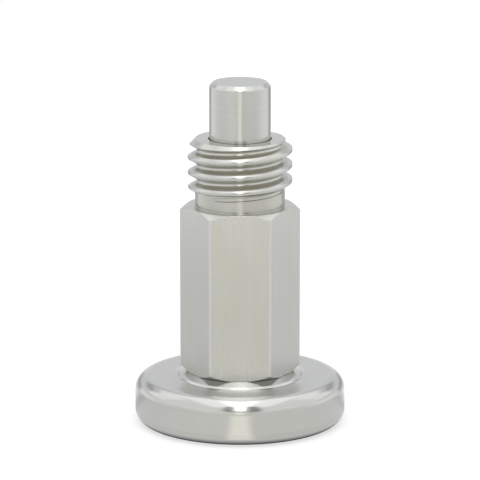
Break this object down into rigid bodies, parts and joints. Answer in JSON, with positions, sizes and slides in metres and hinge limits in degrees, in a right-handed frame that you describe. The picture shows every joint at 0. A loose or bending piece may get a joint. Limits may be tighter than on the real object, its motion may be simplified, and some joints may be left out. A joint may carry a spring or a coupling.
{
  "type": "index plunger",
  "caption": "Spring-loaded index plunger: hexagonal body with a threaded stud, a round chamfered nose and a thick round pull knob that draws the nose back into the stud.",
  "frame": {"origin": "on the plunger's axis, in the plane of the hexagon's front face, the shoulder that seats on a panel", "axes": "+Z along the axis, out through the stud towards the nose's tip; +X through a corner of the hexagon; +Y through the middle of a flat"},
  "size_m": [0.024, 0.024, 0.0395],
  "materials": {
    "body_steel": "satin turned and ground stainless steel",
    "bush_steel": "turned steel",
    "pin_steel": "finely ground stainless steel",
    "spring_steel": "drawn stainless spring wire",
    "knob_steel": "polished stainless steel with a soft sheen"
  },
  "bodies": {
    "housing": {"hex_body": "body_steel", "guide_bush": "bush_steel"},
    "coil": {"spring": "spring_steel"},
    "plunger": {"plunger_pin": "pin_steel", "pull_knob": "knob_steel"}
  },
  "joints": [
    {"name": "turn", "type": "hinge", "parent": "housing", "child": "coil", "pos_m": [0, 0, 0], "axis": [0, 0, 1], "continuous": true},
    {"name": "pull", "type": "slide", "parent": "coil", "child": "plunger", "axis": [0, 0, -1], "range_m": [0, 0.0065], "stiffness_N_per_m": 820, "springref_m": -0.0061, "deforming": ["spring"]}
  ]
}
